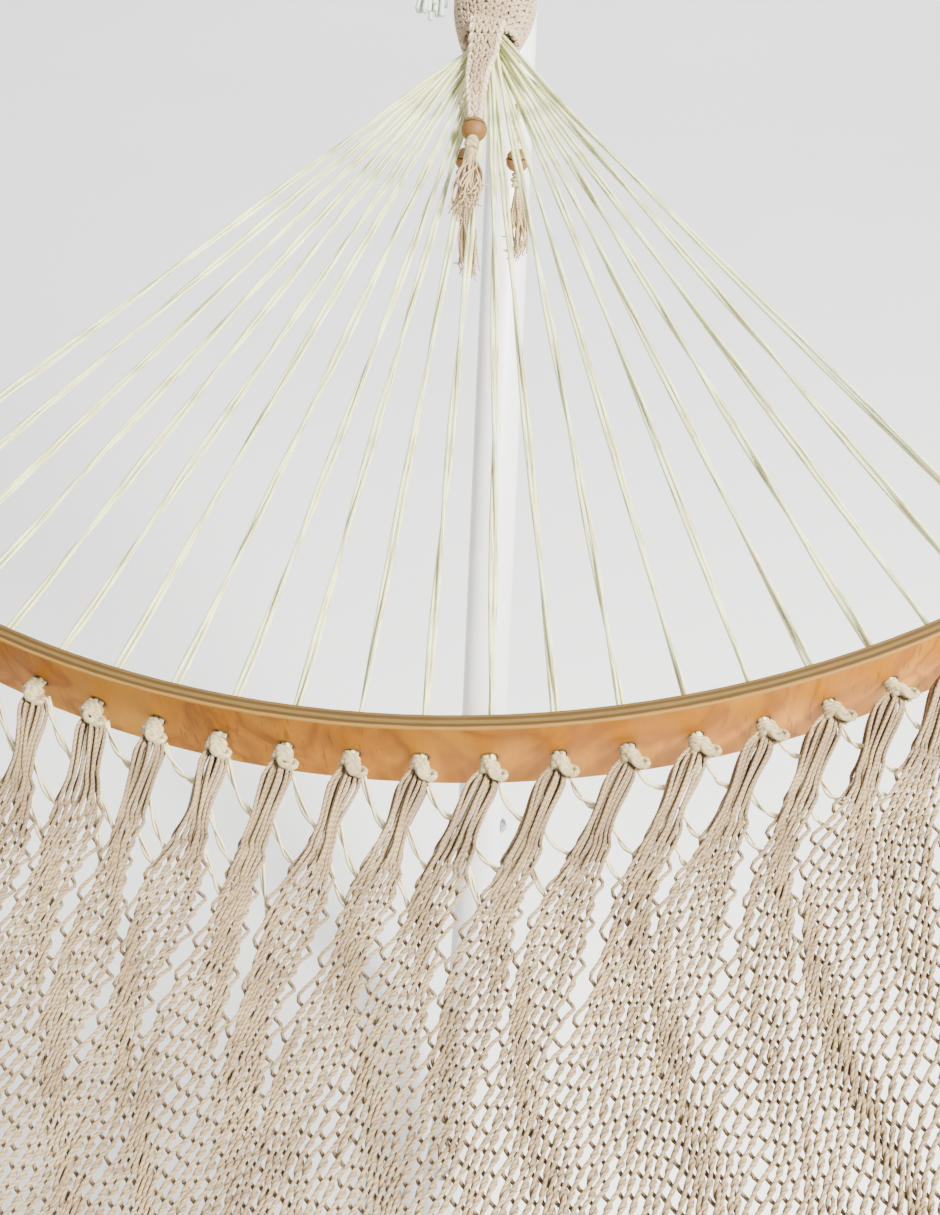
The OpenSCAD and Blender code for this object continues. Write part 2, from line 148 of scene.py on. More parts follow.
class Shape:
    """Gathers vertices, faces and the thread attribute of one piece."""

    def __init__(self):
        self.points, self.faces, self.thread, self.count = [], [], [], 0

    def add(self, points, faces, thread=None):
        points = np.asarray(points, float).reshape(-1, 3)
        thread = np.zeros((len(points), 3)) if thread is None else thread.reshape(-1, 3)
        for group in faces:
            self.faces.append(np.asarray(group, int) + self.count)
        self.points.append(points)
        self.thread.append(thread)
        self.count += len(points)

    def tubes(self, paths, radius, sides=6, up=(0, 0, 1), tone_and_painted_shade=1.0):
        """Closed tubes along paths (k, m, 3).

        radius is one number or (k, m), and up is roughly square to the paths. The last argument, one number
        or (m,), is painted shade: it sets the length of the thread attribute's first two numbers, and lower
        means darker. The third is the length so far."""
        paths = np.asarray(paths, float)
        if paths.ndim == 2:
            paths = paths[None]
        k, m, _ = paths.shape
        radius = np.broadcast_to(np.asarray(radius, float), (k, m))
        tangent = np.gradient(paths, axis=1)
        tangent /= np.linalg.norm(tangent, axis=2, keepdims=True) + TINY
        up = np.broadcast_to(np.asarray(up, float), paths.shape)
        side = np.cross(tangent, up)
        side /= np.linalg.norm(side, axis=2, keepdims=True) + TINY
        over = np.cross(side, tangent)
        angle = np.arange(sides) / sides * TAU
        ring = (side[:, :, None] * np.cos(angle)[:, None] + over[:, :, None] * np.sin(angle)[:, None])
        points = paths[:, :, None] + ring * radius[:, :, None, None]
        walked = np.cumsum(np.linalg.norm(np.diff(paths, axis=1), axis=2), axis=1)
        length = np.concatenate([np.zeros((k, 1)), walked], 1)
        thread = np.empty(points.shape)
        thread[..., 0], thread[..., 1] = np.cos(angle), np.sin(angle)
        # Painted shade: the length of the first two numbers is the shade value, lower for darker.
        thread[..., :2] *= np.broadcast_to(np.asarray(tone_and_painted_shade, float), (m,))[:, None, None]
        thread[..., 2] = length[:, :, None]
        index = np.arange(k * m * sides).reshape(k, m, sides)
        ahead = np.roll(index, -1, axis=2)
        quads = np.stack([index[:, :-1], ahead[:, :-1], ahead[:, 1:], index[:, 1:]], -1).reshape(-1, 4)
        caps = np.concatenate([index[:, 0, ::-1], index[:, -1]])
        self.add(points, [quads, caps], thread)

    def turned_solid(self, outline, origin, axis, steps=40, mark=0.0):
        """A surface of revolution: outline is (radius, height) points from bottom to top, axis a unit vector.

        mark, one number or one for each outline point, is the thread attribute's first number; the bead's
        material paints shade where it is high."""
        outline, axis = np.asarray(outline, float), np.asarray(axis, float)
        across = np.cross(axis, (1, 0, 0) if abs(axis[0]) < 0.9 else (0, 1, 0))
        across /= np.linalg.norm(across)
        other = np.cross(axis, across)
        angle = np.arange(steps) / steps * TAU
        ring = across * np.cos(angle)[:, None] + other * np.sin(angle)[:, None]
        points = np.asarray(origin) + outline[:, 0, None, None] * ring + outline[:, 1, None, None] * axis
        index = np.arange(len(outline) * steps).reshape(len(outline), steps)
        ahead = np.roll(index, -1, axis=1)
        quads = np.stack([index[:-1], ahead[:-1], ahead[1:], index[1:]], -1).reshape(-1, 4)
        thread = np.zeros(points.shape)
        thread[..., 0] = np.broadcast_to(np.asarray(mark, float), (len(outline),))[:, None]
        self.add(points, [quads, index[:1, ::-1], index[-1:]], thread)

    def build(self, name, body, material, slot, replaces=()):
        """Makes the gathered mesh one piece that rides on a body and may replace CAD nodes."""
        points, thread = np.concatenate(self.points), np.concatenate(self.thread)
        sizes = np.concatenate([np.full(len(f), f.shape[1]) for f in self.faces])
        corners = np.concatenate([f.ravel() for f in self.faces])
        mesh = bpy.data.meshes.new(name)
        mesh.vertices.add(len(points))
        mesh.vertices.foreach_set("co", points.astype(np.float32).ravel())
        mesh.loops.add(len(corners))
        mesh.loops.foreach_set("vertex_index", corners.astype(np.int32))
        mesh.polygons.add(len(sizes))
        mesh.polygons.foreach_set("loop_start", np.concatenate([[0], np.cumsum(sizes)[:-1]]).astype(np.int32))
        mesh.polygons.foreach_set("use_smooth", np.ones(len(sizes), bool))
        attribute = mesh.attributes.new("thread", "FLOAT_VECTOR", "POINT")
        attribute.data.foreach_set("vector", thread.astype(np.float32).ravel())
        mesh.update(calc_edges=True)
        mesh.validate()
        mesh.materials.append(material)
        piece = bpy.data.objects.new(name, mesh)
        bpy.context.scene.collection.objects.link(piece)
        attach(piece, body)
        if replaces:
            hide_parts(*replaces)
        return piece


# ---------- materials ----------

class Nodes:
    """A material's node tree with short ways to add and link nodes."""

    # sockets of a Mix node for colours
    MIX_FACTOR = 0
    MIX_A = 6
    MIX_B = 7
    MIX_RESULT = 2

    def __init__(self, name, roughness=0.8, metallic=0.0, sheen=0.0):
        self.material = bpy.data.materials.new(name)
        self.material.use_nodes = True
        self.tree = self.material.node_tree
        self.shader = self.tree.nodes["Principled BSDF"]
        self.shader.inputs["Roughness"].default_value = roughness
        self.shader.inputs["Metallic"].default_value = metallic
        self.shader.inputs["Sheen Weight"].default_value = sheen

    def new(self, kind, **settings):
        node = self.tree.nodes.new("ShaderNode" + kind)
        for key, value in settings.items():
            setattr(node, key, value)
        return node

    def link(self, out, into):
        self.tree.links.new(out, into)

    def math(self, operation, *values, clamp=False):
        node = self.new("Math", operation=operation, use_clamp=clamp)
        for socket, value in zip(node.inputs, values):
            if isinstance(value, (int, float)):
                socket.default_value = value
            else:
                self.link(value, socket)
        return node.outputs[0]

    def noise(self, scale, detail=3.0, vector=None, roughness=0.5, distortion=0.0):
        node = self.new("TexNoise")
        node.inputs["Scale"].default_value = scale
        node.inputs["Detail"].default_value = detail
        node.inputs["Roughness"].default_value = roughness
        node.inputs["Distortion"].default_value = distortion
        self.link(vector or self.place(), node.inputs["Vector"])
        return node.outputs["Fac"]

    def place(self):
        return self.new("TexCoord").outputs["Object"]

    def scaled(self, vector, scale):
        node = self.new("Mapping")
        node.inputs["Scale"].default_value = scale
        self.link(vector, node.inputs["Vector"])
        return node.outputs[0]

    def ramp(self, value, stops):
        node = self.new("ValToRGB")
        elements = node.color_ramp.elements
        while len(elements) < len(stops):
            elements.new(0.5)
        for element, (at, colour) in zip(elements, stops):
            element.position = at
            element.color = (*colour, 1)
        self.link(value, node.inputs["Fac"])
        return node.outputs["Color"]

    def mix(self, factor, a, b):
        node = self.new("Mix", data_type="RGBA")
        for index, value in ((self.MIX_FACTOR, factor), (self.MIX_A, a), (self.MIX_B, b)):
            socket = node.inputs[index]
            if isinstance(value, (int, float)):
                socket.default_value = value
            elif isinstance(value, tuple):
                socket.default_value = (*value, 1)
            else:
                self.link(value, socket)
        return node.outputs[self.MIX_RESULT]

    def bump(self, height, strength, distance):
        node = self.new("Bump")
        node.inputs["Strength"].default_value = strength
        node.inputs["Distance"].default_value = distance
        self.link(height, node.inputs["Height"])
        self.link(node.outputs[0], self.shader.inputs["Normal"])

    def colour(self, value):
        self.link(value, self.shader.inputs["Base Color"])

    def rough(self, value, low, high):
        node = self.new("MapRange")
        node.inputs["To Min"].default_value = low
        node.inputs["To Max"].default_value = high
        self.link(value, node.inputs["Value"])
        self.link(node.outputs[0], self.shader.inputs["Roughness"])


def thread_axes(m):
    """The direction round a thread, the length along it and its painted shade, from the mesh's thread
    attribute.
    """
    split = m.new("SeparateXYZ")
    m.link(m.new("Attribute", attribute_name="thread").outputs["Vector"], split.inputs[0])
    x, y, length = split.outputs
    # The painted shade value is the length of the attribute's first two numbers.
    tone_and_painted_shade = m.math("SQRT", m.math("ADD", m.math("MULTIPLY", x, x), m.math("MULTIPLY", y, y)))
    return m.math("ARCTAN2", y, x), length, tone_and_painted_shade


def thread_material(name, light, dark, groove, pitch, plies=3, patch=28.0, depth=0.0003, groove_shade=0.55):
    """Twisted yarn: plies wound round each other, with blotches, painted shade in the grooves between the
    plies, and painted shade where the thread attribute gives a low shade value.

    pitch is a turn's length, patch the blotches' scale, depth the grooves' depth, and the last argument the
    strength of the painted shade in the grooves."""
    fuzz_share = 0.35
    m = Nodes(name, roughness=0.85, sheen=0.15)
    m.shader.inputs["Sheen Roughness"].default_value = 0.5
    around, length, tone_and_painted_shade = thread_axes(m)
    turn = m.math("MULTIPLY_ADD", length, TAU / pitch, around)
    wave = m.math("SINE", m.math("MULTIPLY", turn, float(plies)))
    height = m.math("MULTIPLY_ADD", wave, 0.5, 0.5)
    fuzz = m.noise(900.0, detail=4.0)
    blotch = m.ramp(m.noise(patch), [(0.34, dark), (0.64, light)])
    # Painted shade: the grooves between the plies darken towards the groove colour.
    shaded_yarn = m.mix(m.math("MULTIPLY", m.math("SUBTRACT", 1.0, height), groove_shade), blotch, groove)
    # Painted shade: the yarn darkens towards the groove colour wherever its shade value is below 1.
    shaded_yarn = m.mix(m.math("SUBTRACT", 1.0, tone_and_painted_shade, clamp=True), shaded_yarn, groove)
    m.colour(m.mix(m.math("MULTIPLY", fuzz, fuzz_share), shaded_yarn, groove))
    m.bump(m.math("MULTIPLY_ADD", fuzz, fuzz_share, height), strength=0.8, distance=depth)
    return m.material


def cord_material(name, light, middle_tone, dark):
    """Smooth waxed cord with long streaks along it."""
    m = Nodes(name, roughness=0.6)
    m.shader.inputs["Coat Weight"].default_value = 0.1
    thread = m.new("Attribute", attribute_name="thread").outputs["Vector"]
    streak = m.noise(1.0, vector=m.scaled(thread, (1.3, 1.3, 26.0)), roughness=0.6)
    m.colour(m.ramp(streak, [(0.36, dark), (0.46, middle_tone), (0.58, light)]))
    m.rough(streak, low=0.5, high=0.75)
    m.bump(m.noise(700.0), strength=0.3, distance=0.0002)
    return m.material


# Colours of the plywood: the veneer's clouds, the layers from the inner face to the outer, and what
# darkens them.
VENEER_STOPS = (
    (0.30, (0.33, 0.110, 0.004)),
    (0.44, (0.43, 0.165, 0.007)),
    (0.53, (0.29, 0.100, 0.004)),
    (0.60, (0.43, 0.17, 0.008)),
    (0.75, (0.52, 0.235, 0.020)),
)
LAYER_STOPS = (
    (0.0, (0.065, 0.033, 0.006)),
    (0.16, (0.17, 0.10, 0.026)),
    (0.21, (0.06, 0.033, 0.008)),
    (0.37, (0.08, 0.045, 0.011)),
    (0.42, (0.16, 0.10, 0.028)),
    (0.58, (0.14, 0.085, 0.021)),
    (0.63, (0.06, 0.03, 0.007)),
    (0.78, (0.08, 0.04, 0.009)),
    (0.83, (0.26, 0.15, 0.035)),
    (1.0, (0.30, 0.15, 0.022)),
)
GRAIN_BROWN = (0.25, 0.078, 0.003)
STROKE_BROWN = (0.11, 0.035, 0.004)
FIBRE_BROWN = (0.045, 0.024, 0.006)
RIM_BROWN = (0.16, 0.075, 0.025)
EDGE_DEPTH = 0.0012
RIM_WIDTH = 0.0035


def plywood_material(name, end):
    """Bent plywood: veneer on both faces, layers on the edges, a dark rim round each hole."""
    m = Nodes(name, roughness=0.6)
    m.shader.inputs["Specular IOR Level"].default_value = 0.2
    local = m.new("Mapping", vector_type="TEXTURE")
    sign = 1 if end == "head" else -1
    local.inputs["Location"].default_value = (0, sign * CROWN_Y, CROWN_Z)
    local.inputs["Rotation"].default_value = (TILT, 0, 0 if end == "head" else math.pi)
    m.link(m.place(), local.inputs["Vector"])
    split = m.new("SeparateXYZ")
    m.link(local.outputs[0], split.inputs[0])
    x, s, n = split.outputs
    radius = m.math("SQRT", m.math("ADD", m.math("MULTIPLY", x, x), m.math("MULTIPLY", s, s)))
    angle = m.math("ARCTAN2", x, m.math("MULTIPLY", s, -1.0))
    along = m.math("MULTIPLY", angle, BAR_R)
    flat = m.new("CombineXYZ")
    for socket, value in zip(flat.inputs, (along, n, radius)):
        m.link(value, socket)
    board = flat.outputs[0]
    grain = m.noise(1.0, detail=5.0, vector=m.scaled(board, (260.0, 22.0, 260.0)), roughness=0.6)
    broad = m.noise(1.0, detail=2.0, vector=m.scaled(board, (11.0, 7.0, 11.0)), distortion=1.6)
    veneer = m.ramp(broad, VENEER_STOPS)
    veneer = m.mix(m.math("MULTIPLY", grain, 0.35), veneer, GRAIN_BROWN)
    stroke = m.noise(1.0, detail=1.0, vector=m.scaled(board, (430.0, 38.0, 60.0)))
    few = m.noise(1.0, detail=0.0, vector=m.scaled(board, (9.0, 14.0, 9.0)))
    mark = m.math("MULTIPLY", m.math("GREATER_THAN", stroke, 0.66), m.math("GREATER_THAN", few, 0.49))
    veneer = m.mix(m.math("MULTIPLY", mark, 0.45), veneer, STROKE_BROWN)
    layer = m.math("DIVIDE", m.math("SUBTRACT", radius, BAR_R), BAR_T)
    wander = m.noise(1.0, detail=2.0, vector=m.scaled(board, (40.0, 40.0, 500.0)))
    layer = m.math("ADD", layer, m.math("MULTIPLY", m.math("SUBTRACT", wander, 0.5), 0.10))
    plies = m.ramp(layer, LAYER_STOPS)
    fibre = m.noise(1.0, detail=4.0, vector=m.scaled(board, (50.0, 300.0, 900.0)))
    plies = m.mix(m.math("MULTIPLY", fibre, 0.55), plies, FIBRE_BROWN)
    edge = m.math("GREATER_THAN", m.math("ABSOLUTE", n), BAR_W / 2 - EDGE_DEPTH)
    wood = m.mix(edge, veneer, plies)
    off = m.math("SUBTRACT", m.math("WRAP", angle, PAIR_STEP, 0.0), PAIR_STEP / 2)
    off = m.math("MULTIPLY", off, BAR_OUT)
    from_hole = m.math("SQRT", m.math("ADD", m.math("MULTIPLY", off, off), m.math("MULTIPLY", n, n)))
    rim = m.new("MapRange", interpolation_type="SMOOTHSTEP")
    rim.inputs["From Min"].default_value = HOLE_R
    rim.inputs["From Max"].default_value = HOLE_R + RIM_WIDTH
    rim.inputs["To Min"].default_value = 0.85
    rim.inputs["To Max"].default_value = 0.0
    m.link(from_hole, rim.inputs["Value"])
    m.colour(m.mix(rim.outputs[0], wood, RIM_BROWN))
    m.rough(grain, low=0.5, high=0.7)
    m.bump(m.mix(edge, grain, fibre), strength=0.25, distance=0.0004)
    return m.material


def bead_material():
    """Turned, lightly oiled wood: streaks along the object's z axis, and painted shade, a dark line in the
    groove where the mesh marks it.
    """
    m = Nodes("bead_wood", roughness=0.55)
    m.shader.inputs["Specular IOR Level"].default_value = 0.3
    grain = m.noise(1.0, detail=4.0, vector=m.scaled(m.place(), (420.0, 420.0, 90.0)), roughness=0.65)
    tone_and_painted_shade = m.noise(38.0, detail=2.0)
    wood = m.ramp(tone_and_painted_shade, [(0.3, (0.17, 0.08, 0.017)), (0.7, (0.30, 0.145, 0.038))])
    wood = m.mix(m.math("MULTIPLY", grain, 0.75), wood, (0.10, 0.038, 0.009))
    split = m.new("SeparateXYZ")
    m.link(m.new("Attribute", attribute_name="thread").outputs["Vector"], split.inputs[0])
    # Painted shade: a near-black line in the bead's groove, where the mesh marks it.
    m.colour(m.mix(m.math("MULTIPLY", split.outputs[0], 0.92), wood, (0.012, 0.005, 0.002)))
    m.rough(grain, low=0.48, high=0.66)
    m.bump(grain, strength=0.2, distance=0.0003)
    return m.material


def paint_material():
    """White powder coat: a fine orange peel and a little uneven gloss."""
    m = Nodes("frame_paint", roughness=0.38)
    m.shader.inputs["Coat Weight"].default_value = 0.25
    m.shader.inputs["Coat Roughness"].default_value = 0.25
    peel = m.noise(520.0)
    dust = m.noise(7.0, detail=5.0)
    m.colour(m.ramp(dust, [(0.35, (0.74, 0.74, 0.72)), (0.62, (0.83, 0.83, 0.82))]))
    m.rough(dust, low=0.30, high=0.46)
    m.bump(peel, strength=0.18, distance=0.0003)
    return m.material


def metal_material(name, colour, dark, low, high):
    """Plated steel: fine scratches, cloudy plating and smudged gloss."""
    m = Nodes(name, roughness=0.3, metallic=1.0)
    cloud = m.noise(60.0, detail=4.0)
    fine = m.noise(1.0, vector=m.scaled(m.place(), (900.0, 135.0, 360.0)))
    m.colour(m.ramp(cloud, [(0.3, dark), (0.65, colour)]))
    m.rough(fine, low, high)
    m.bump(fine, strength=0.12, distance=0.0002)
    return m.material


def moulded_material(name, dark, light, roughness):
    """Moulded rubber or plastic with a fine grain and a dusty bloom."""
    m = Nodes(name, roughness=roughness)
    dust = m.noise(26.0, detail=4.0)
    m.colour(m.ramp(dust, [(0.4, dark), (0.75, light)]))
    m.rough(dust, roughness - 0.1, roughness + 0.1)
    m.bump(m.noise(1400.0, detail=2.0), strength=0.3, distance=0.0002)
    return m.material


# groove is the colour that painted shade darkens each yarn towards: in the grooves between plies and, on the
# net, on the coils' backs and the lower strands of its bundles. The fuzz's specks use it too.
NET_COTTON = thread_material("net_cotton", light=(0.56, 0.41, 0.21), dark=(0.34, 0.235, 0.115),
                             groove=(0.075, 0.043, 0.018), pitch=0.013, patch=20.0, groove_shade=0.5)
CROCHET = thread_material("crochet", light=(0.76, 0.60, 0.38), dark=(0.50, 0.36, 0.21),
                          groove=(0.14, 0.08, 0.04), pitch=0.009, patch=40.0)
FLAP_EDGE = thread_material("flap_edge", light=(0.84, 0.73, 0.52), dark=(0.68, 0.55, 0.36),
                            groove=(0.32, 0.22, 0.12), pitch=0.009, groove_shade=0.3)
TASSEL_COTTON = thread_material("tassel_cotton", light=(0.80, 0.61, 0.33), dark=(0.58, 0.42, 0.21),
                                groove=(0.18, 0.11, 0.05), pitch=0.006, plies=2)
KNOT_COTTON = thread_material("knot_cotton", light=(0.62, 0.53, 0.28), dark=(0.44, 0.36, 0.18),
                              groove=(0.12, 0.08, 0.035), pitch=0.012, plies=2, depth=0.00025, groove_shade=0.45)
FAN_CORD = cord_material("fan_cord", light=(0.78, 0.79, 0.44), middle_tone=(0.60, 0.60, 0.31),
                         dark=(0.24, 0.24, 0.11))
LINK_CORD = cord_material("link_cord", light=(0.70, 0.62, 0.38), middle_tone=(0.56, 0.49, 0.28),
                          dark=(0.30, 0.25, 0.14))
TAIL_CORD = cord_material("tail_cord", light=(0.58, 0.66, 0.54), middle_tone=(0.50, 0.58, 0.47),
                          dark=(0.34, 0.40, 0.33))
BEAD_WOOD = bead_material()
PAINT = paint_material()
ZINC = metal_material("zinc_steel", colour=(0.78, 0.79, 0.80), dark=(0.62, 0.63, 0.65), low=0.18, high=0.36)
BOLT_STEEL = metal_material("bolt_steel", colour=(0.50, 0.51, 0.53), dark=(0.38, 0.39, 0.41), low=0.28,
                            high=0.48)
RUBBER = moulded_material("foot_rubber", dark=(0.022, 0.024, 0.026), light=(0.05, 0.05, 0.05), roughness=0.75)
CAP_PLASTIC = moulded_material("cap_plastic", dark=(0.035, 0.035, 0.037), light=(0.07, 0.07, 0.07),
                               roughness=0.5)


# ---------- fans of cords ----------

CORD_STEPS = 74
CORD_PAST_BAR = 0.004
CORD_BOW = 0.0016
CORD_WAVER = 0.0006
CORD_GAP = 0.00022
CORD_TWIST = 0.34
BUNCH_HALF_HEIGHT = 0.011
BUNCH_HALF_WIDTH = 0.012
BUNCH_LOW = 0.014
BUNCH_BELOW_TOP = 0.012
BUNCH_STEPS = 6


def fan_cords(end):
    """The cord pairs, from the bunch inside the sleeve to the knots behind the bar."""
    shape = Shape()
    order = rng.permutation(PAIRS)
    for k in range(PAIRS):
        angle = float(pair_angle(k))
        level = (order[k] / (PAIRS - 1) - 0.5) * 2
        out = np.linspace(0.0, BAR_OUT + CORD_PAST_BAR, CORD_STEPS)
        bow = rng.normal(0, CORD_BOW) * np.sin(math.pi * out / BAR_OUT)
        near = 1 - smooth(out / (GATHER_R * 1.25))
        inside = BUNCH_HALF_HEIGHT * level * near
        turn = rng.uniform(0, TAU) + rng.choice((-1, 1)) * rng.uniform(0.3, 1.0) * TAU / CORD_TWIST * out
        gap = (CORD_R + CORD_GAP) * (1 - 0.15 * near)
        for side in (-1, 1):
            across = bow + side * gap * np.cos(turn)
            lift = inside + side * gap * np.sin(turn) + rng.normal(0, CORD_WAVER) * np.sin(3 * out)
            x = out * math.sin(angle) + across * math.cos(angle)
            s = -out * math.cos(angle) + across * math.sin(angle)
            tail_s = np.linspace(SLEEVE_TOP - BUNCH_BELOW_TOP, BUNCH_LOW, BUNCH_STEPS)
            squeeze = np.linspace(0.35, 0.95, BUNCH_STEPS)
            spread = BUNCH_HALF_WIDTH * math.sin(angle) / math.sin(float(pair_angle(PAIRS - 1)))
            tail = np.stack([spread * squeeze + side * CORD_R, tail_s, inside[0] * squeeze], -1)
            local = np.concatenate([tail, np.stack([x, s, lift], -1)])
            shape.tubes(turned(end, fan_point(*local.T)), CORD_R, sides=8)
    return shape.build(f"cords_{end}", "hammock", FAN_CORD, "fan_cord",
                       [f"fan_cords_{end}", f"cord_gather_{end}"])


# ---------- crochet ----------

# A stitch's points and unevenness, and its two legs' shape in columns, rows and shares of the yarn.
STITCH_STEPS = 6
STITCH_UNEVEN = 0.08
LEG_GAP = 0.05
LEG_SPREAD = 0.40
LEG_OVERLAP = 0.18
LEG_LENGTH = 1.22
LEG_THIN = 0.72
LEG_SWELL = 0.40


def crochet(shape, place, rows, columns, yarn, lift):
    """V stitches on a surface: place(u, v, h) maps column, row and height to a point.

    columns(row) is a row's first and last column, yarn the thread's radius and lift a stitch's height."""
    t = np.linspace(0, 1, STITCH_STEPS)
    for row in range(rows):
        low, high = columns(row)
        for column in np.arange(low, high):
            aside, ahead, out, fat = rng.normal(0, STITCH_UNEVEN, 4)
            for side in (-1, 1):
                u = column + 0.5 + aside * 0.5 + side * (LEG_GAP + LEG_SPREAD * smooth(t))
                v = row + ahead * 0.5 - LEG_OVERLAP + LEG_LENGTH * t
                h = lift * np.sin(math.pi * t) + yarn * 0.3 * side * out
                radius = yarn * (LEG_THIN + LEG_SWELL * np.sin(math.pi * t)) * (1 + 0.5 * fat)
                shape.tubes(place(u, v, h), radius, up=SLANT)


def sleeve_radius(t):
    """Radius of the sleeve at t = 0 (mouth) to 1 (top), widest at turn."""
    mouth, belly, top, turn = 0.0275, 0.0400, 0.0165, 0.42
    low = mouth + (belly - mouth) * np.sin(np.clip(t / turn, 0, 1) * math.pi / 2)
    high = top + (belly - top) * (0.5 + 0.5 * np.cos(np.clip((t - turn) / (1 - turn), 0, 1) * math.pi))
    return np.where(t < turn, low, high)


SLEEVE_AROUND = 26
SLEEVE_ROWS = 19
SLEEVE_INSET = 0.0022
RIM_YARN = 0.0022
RIM_STEPS = 108
RIM_WAVE = 0.18


def sleeve(end):
    """The crocheted sleeve over the gathered cords, with a corded rim at each end."""
    shape = Shape()

    def place(u, v, h):
        t = (v + 0.1) / (SLEEVE_ROWS + 0.4)
        angle = u / SLEEVE_AROUND * TAU
        radius = sleeve_radius(t) - SLEEVE_INSET + h
        radius = radius * (1 + 0.02 * np.sin(3 * angle + 1.0))
        point = fan_point(radius * np.cos(angle), SLEEVE_LOW + SLEEVE_LEN * t, radius * np.sin(angle))
        return turned(end, point)

    crochet(shape, place, SLEEVE_ROWS, lambda row: (0, SLEEVE_AROUND), yarn=0.0019, lift=0.0016)
    for level, grow in ((0.2, 0.0012), (SLEEVE_ROWS - 0.1, 0.001)):
        u = np.linspace(0, SLEEVE_AROUND, RIM_STEPS)
        shape.tubes(place(u, level + RIM_WAVE * np.sin(u * TAU), grow + 0 * u), RIM_YARN)
    piece = shape.build(f"sleeve_crochet_{end}", "hammock", CROCHET, "crochet", [f"sleeve_{end}"])
    return piece


# A stitch's width and length, the flaps' lengths, the gap from a tip to its bead's middle, and their widths.
FLAP_STITCH = 0.0064
FLAP_ROW = 0.0080
TOP_FLAP = 0.130
SIDE_FLAP = 0.107
TIP_GAP = 0.0155
FLAP_WIDE = 0.0235
FLAP_TIP = 0.0055
FLAP_TAPER = 0.9

# How a flap lies: its waves, its curl across, the top one's height over the fan and over the sleeve's mouth.
FLAP_WAVE = 0.0030
FLAP_CURL = 12.0
TOP_RISE = 0.0185
MOUTH_RISE = 0.0155
MOUTH_SHARE = 0.30
TOP_LEAN = 0.004
SIDE_OFFSET = 0.003

# The hem's chain: its radius at each side, its sideways wave in stitches, its lift and its uneven thickness.
HEM_YARNS = ((-1, 0.0019), (1, 0.0026))
HEM_WAVE = 0.10
HEM_LIFT = 0.0012
HEM_SWELL = 0.0005


def flap_width(t):
    """Width of a flap at t = 0 (on the sleeve) to 1 (its tip)."""
    return FLAP_WIDE * np.clip(1 - t, 0, 1) ** FLAP_TAPER + FLAP_TIP


def flap(end, which):
    """One pointed crochet flap, with a paler chain of larger stitches along each edge."""
    shape, hem = Shape(), Shape()
    bead_place = middle(f"bead_{which}_head")
    length = TOP_FLAP if which == "top" else SIDE_FLAP
    rows = round(length / FLAP_ROW)

    def place(u, v, h):
        t = np.clip(v / rows, -0.02, 1.02)
        across = u * FLAP_STITCH
        curl = FLAP_WAVE * np.sin(t * 9 + across * 60) + FLAP_CURL * across ** 2 * (1 - t)
        if which == "top":
            tip_s = (bead_place.y - CROWN_Y) / math.cos(TILT) + TIP_GAP
            rise = TOP_RISE + MOUTH_RISE * (1 - smooth(t / MOUTH_SHARE)) - curl
            point = fan_point(across - TOP_LEAN * np.sin(3 * t), tip_s + length * (1 - t), rise + h)
        else:
            side = -1 if which == "left" else 1
            y = CROWN_Y + SIDE_OFFSET * side + across
            z = bead_place.z + TIP_GAP + length * (1 - t)
            point = np.stack(np.broadcast_arrays(bead_place.x + side * (h - curl), y, z), -1)
        return turned(end, point)

    def columns(row):
        count = max(1, round(float(flap_width((row + 0.5) / rows)) / FLAP_STITCH))
        return -count / 2, count / 2

    crochet(shape, place, rows, columns, yarn=0.0015, lift=0.0014)
    for side, thick in HEM_YARNS:
        v = np.linspace(0, rows, 8 * rows)
        u = side * (flap_width(v / rows) / 2 / FLAP_STITCH + HEM_WAVE * np.sin(v * TAU))
        chain = place(u, v, HEM_LIFT * np.cos(v * TAU))
        hem.tubes(chain, thick + HEM_SWELL * np.sin(v * TAU), up=SLANT)
    edging = hem.build(f"flap_edge_{which}_{end}", "hammock", FLAP_EDGE, "crochet")
    piece = shape.build(f"flap_{which}_{end}", "hammock", CROCHET, "crochet", [f"flaps_{end}"])
    return piece


# ---------- beads and tassels ----------

def pendant_frame(end, which):
    """Bead centre and the direction that the pendant hangs in, both in the CAD frame."""
    centre = np.array(middle(f"bead_{which}_{end}"))
    if which != "top":
        return centre, np.array([0.0, 0.0, -1.0])
    away = np.array([0.0, -math.cos(TILT), -math.sin(TILT)])
    return centre, turned(end, away)


# A bead: its radius and its hole's, the angle where its rounding stops, where its hole is closed as a share
# of the radius, and the angle that the top one is tipped by. Its groove's height, width and depth.
BEAD_R = 0.0120
BEAD_HOLE_R = 0.0022
BEAD_ROUND = 1.39
BEAD_SINK = 0.80
BEAD_TIP = math.radians(16)
GROOVE_UP = 0.0036
GROOVE_WIDTH = 0.0009
GROOVE_DEPTH = 0.0016


